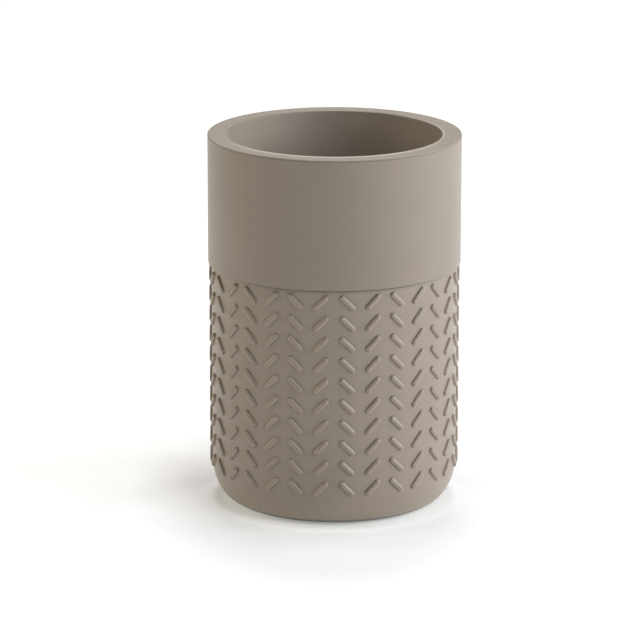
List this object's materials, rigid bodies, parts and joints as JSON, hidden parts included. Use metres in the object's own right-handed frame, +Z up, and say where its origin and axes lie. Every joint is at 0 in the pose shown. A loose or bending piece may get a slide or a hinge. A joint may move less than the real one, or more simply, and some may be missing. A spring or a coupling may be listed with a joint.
{
  "type": "toothbrush holder",
  "caption": "Free-standing round tumbler for toothbrushes: a smooth overhanging band with a thick flat rim above a wall of raised herringbone bars, and a rounded foot on non-slip pads.",
  "frame": {"origin": "bottom centre: on the tumbler's axis, on the surface that its pads stand on", "axes": "+Z up along the axis, -Y towards the viewer of the picture, +X to the viewer's right"},
  "size_m": [0.075, 0.075, 0.111],
  "materials": {
    "cup_resin": "satin taupe resin, evenly coloured, faint mould grain",
    "sleeve_resin": "satin taupe resin, evenly coloured, faint mould grain",
    "pad_rubber": "matt dark grey rubber"
  },
  "bodies": {
    "root": {"inner_cup": "cup_resin", "patterned_sleeve": "sleeve_resin", "foot_pad_front": "pad_rubber", "foot_pad_right": "pad_rubber", "foot_pad_rear": "pad_rubber", "foot_pad_left": "pad_rubber"}
  },
  "joints": []
}
